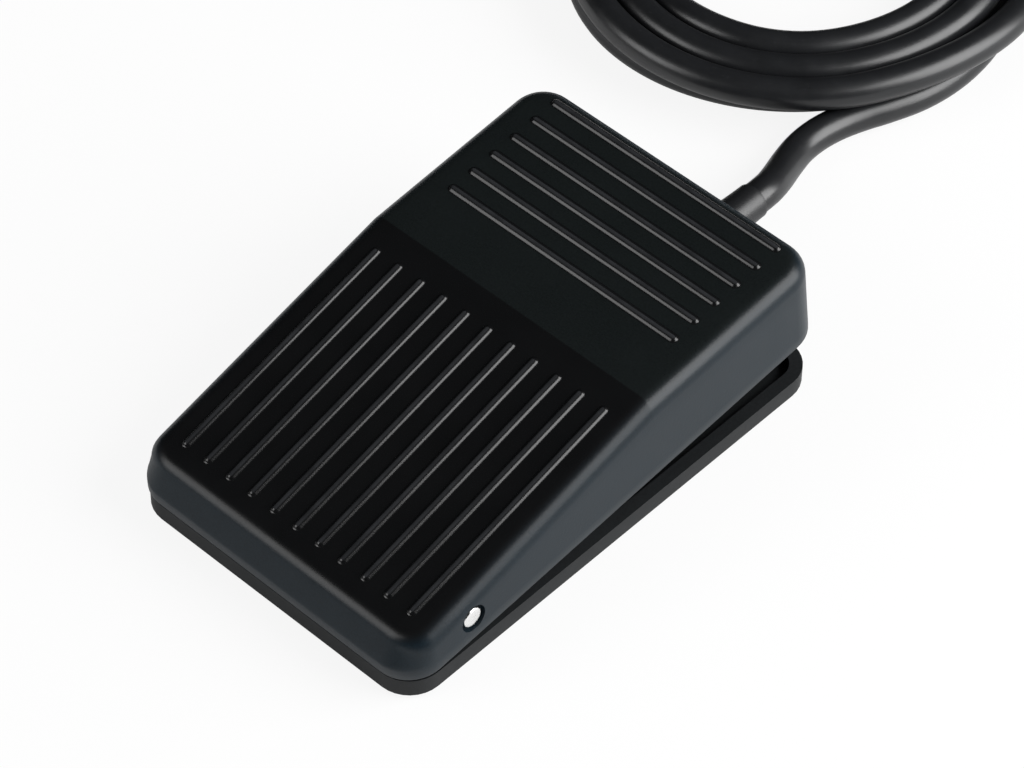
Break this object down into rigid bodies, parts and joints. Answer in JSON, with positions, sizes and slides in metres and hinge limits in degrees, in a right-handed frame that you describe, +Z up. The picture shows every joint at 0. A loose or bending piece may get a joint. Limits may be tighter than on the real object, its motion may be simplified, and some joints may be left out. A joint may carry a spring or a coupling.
{
  "type": "industrial foot switch",
  "caption": "Low pedal-type momentary foot switch: ribbed black shell hinged over a base tray, with a snap-action switch inside and a three-core lead coiled behind it.",
  "frame": {"origin": "on the floor below the centre of the switch's own outline, lead left out", "axes": "+Z up, +Y from the toe end to the lead, +X to the right"},
  "size_m": [0.1269, 0.2264, 0.0324],
  "materials": {
    "pedal_plastic": "satin moulded, fine spark texture",
    "base_plastic": "matt moulded",
    "rubber": "matt",
    "pin_steel": "bright, chamfered ends",
    "spring_steel": "drawn wire",
    "case_plastic": "glass-filled, matt",
    "plunger_plastic": "smooth",
    "lever_steel": "rolled strip",
    "brass": "stamped",
    "contact_bronze": "rolled strip",
    "screw_steel": "bright zinc",
    "cord_rubber": "soft matt",
    "cord_jacket": "satin",
    "core_brown": "smooth",
    "core_blue": "smooth",
    "core_black": "smooth",
    "solder": "dull grey",
    "tie_plastic": "nylon",
    "copper": "twisted strands"
  },
  "bodies": {
    "base": {"base_tray": "base_plastic", "rubber_feet": "rubber", "hinge_pin": "pin_steel", "return_springs": "spring_steel", "switch_case": "case_plastic", "switch_cover": "case_plastic", "lever_pin": "pin_steel", "terminal_com": "brass", "terminal_no": "brass", "terminal_nc": "brass", "switch_screws": "screw_steel", "switch_nuts": "screw_steel", "cable_clamp": "base_plastic", "clamp_screws": "screw_steel", "strain_relief": "cord_rubber", "cord_sheath": "cord_jacket", "core_brown": "core_brown", "core_blue": "core_blue", "core_black": "core_black", "solder_joints": "solder", "cord_lead": "cord_jacket", "cord_coil": "cord_jacket", "coil_tie": "tie_plastic", "cord_tail": "cord_jacket", "tail_cores": "core_brown", "tail_strands": "copper"},
    "pedal": {"pedal": "pedal_plastic"},
    "lever": {"switch_lever": "lever_steel"},
    "plunger": {"switch_plunger": "plunger_plastic"},
    "blade": {"contact_blade": "contact_bronze"}
  },
  "joints": [
    {"name": "pedal_hinge", "type": "hinge", "parent": "base", "child": "pedal", "pos_m": [0, -0.036, 0.0112], "axis": [-1, 0, 0], "range_deg": [0, 5.2], "stiffness_Nm_per_rad": 4, "springref_deg": -14.32, "deforming": ["return_springs"]},
    {"name": "lever_hinge", "type": "hinge", "parent": "base", "child": "lever", "pos_m": [0, 0.0058, 0.0199], "axis": [-1, 0, 0], "range_deg": [0, 15.27]},
    {"name": "plunger_slide", "type": "slide", "parent": "base", "child": "plunger", "axis": [0, 0, -1], "range_m": [0, 0.00137]},
    {"name": "blade_snap", "type": "hinge", "parent": "base", "child": "blade", "pos_m": [0, 0.0076, 0.0117], "axis": [-1, 0, 0], "range_deg": [0, 1.98]}
  ],
  "couplings": [
    {"joint": "lever_hinge", "follows": "pedal_hinge", "ratio": 2.9304},
    {"joint": "plunger_slide", "follows": "pedal_hinge", "m_per_rad": 0.015008},
    {"joint": "blade_snap", "follows": "pedal_hinge", "ratio": 0.3788}
  ]
}
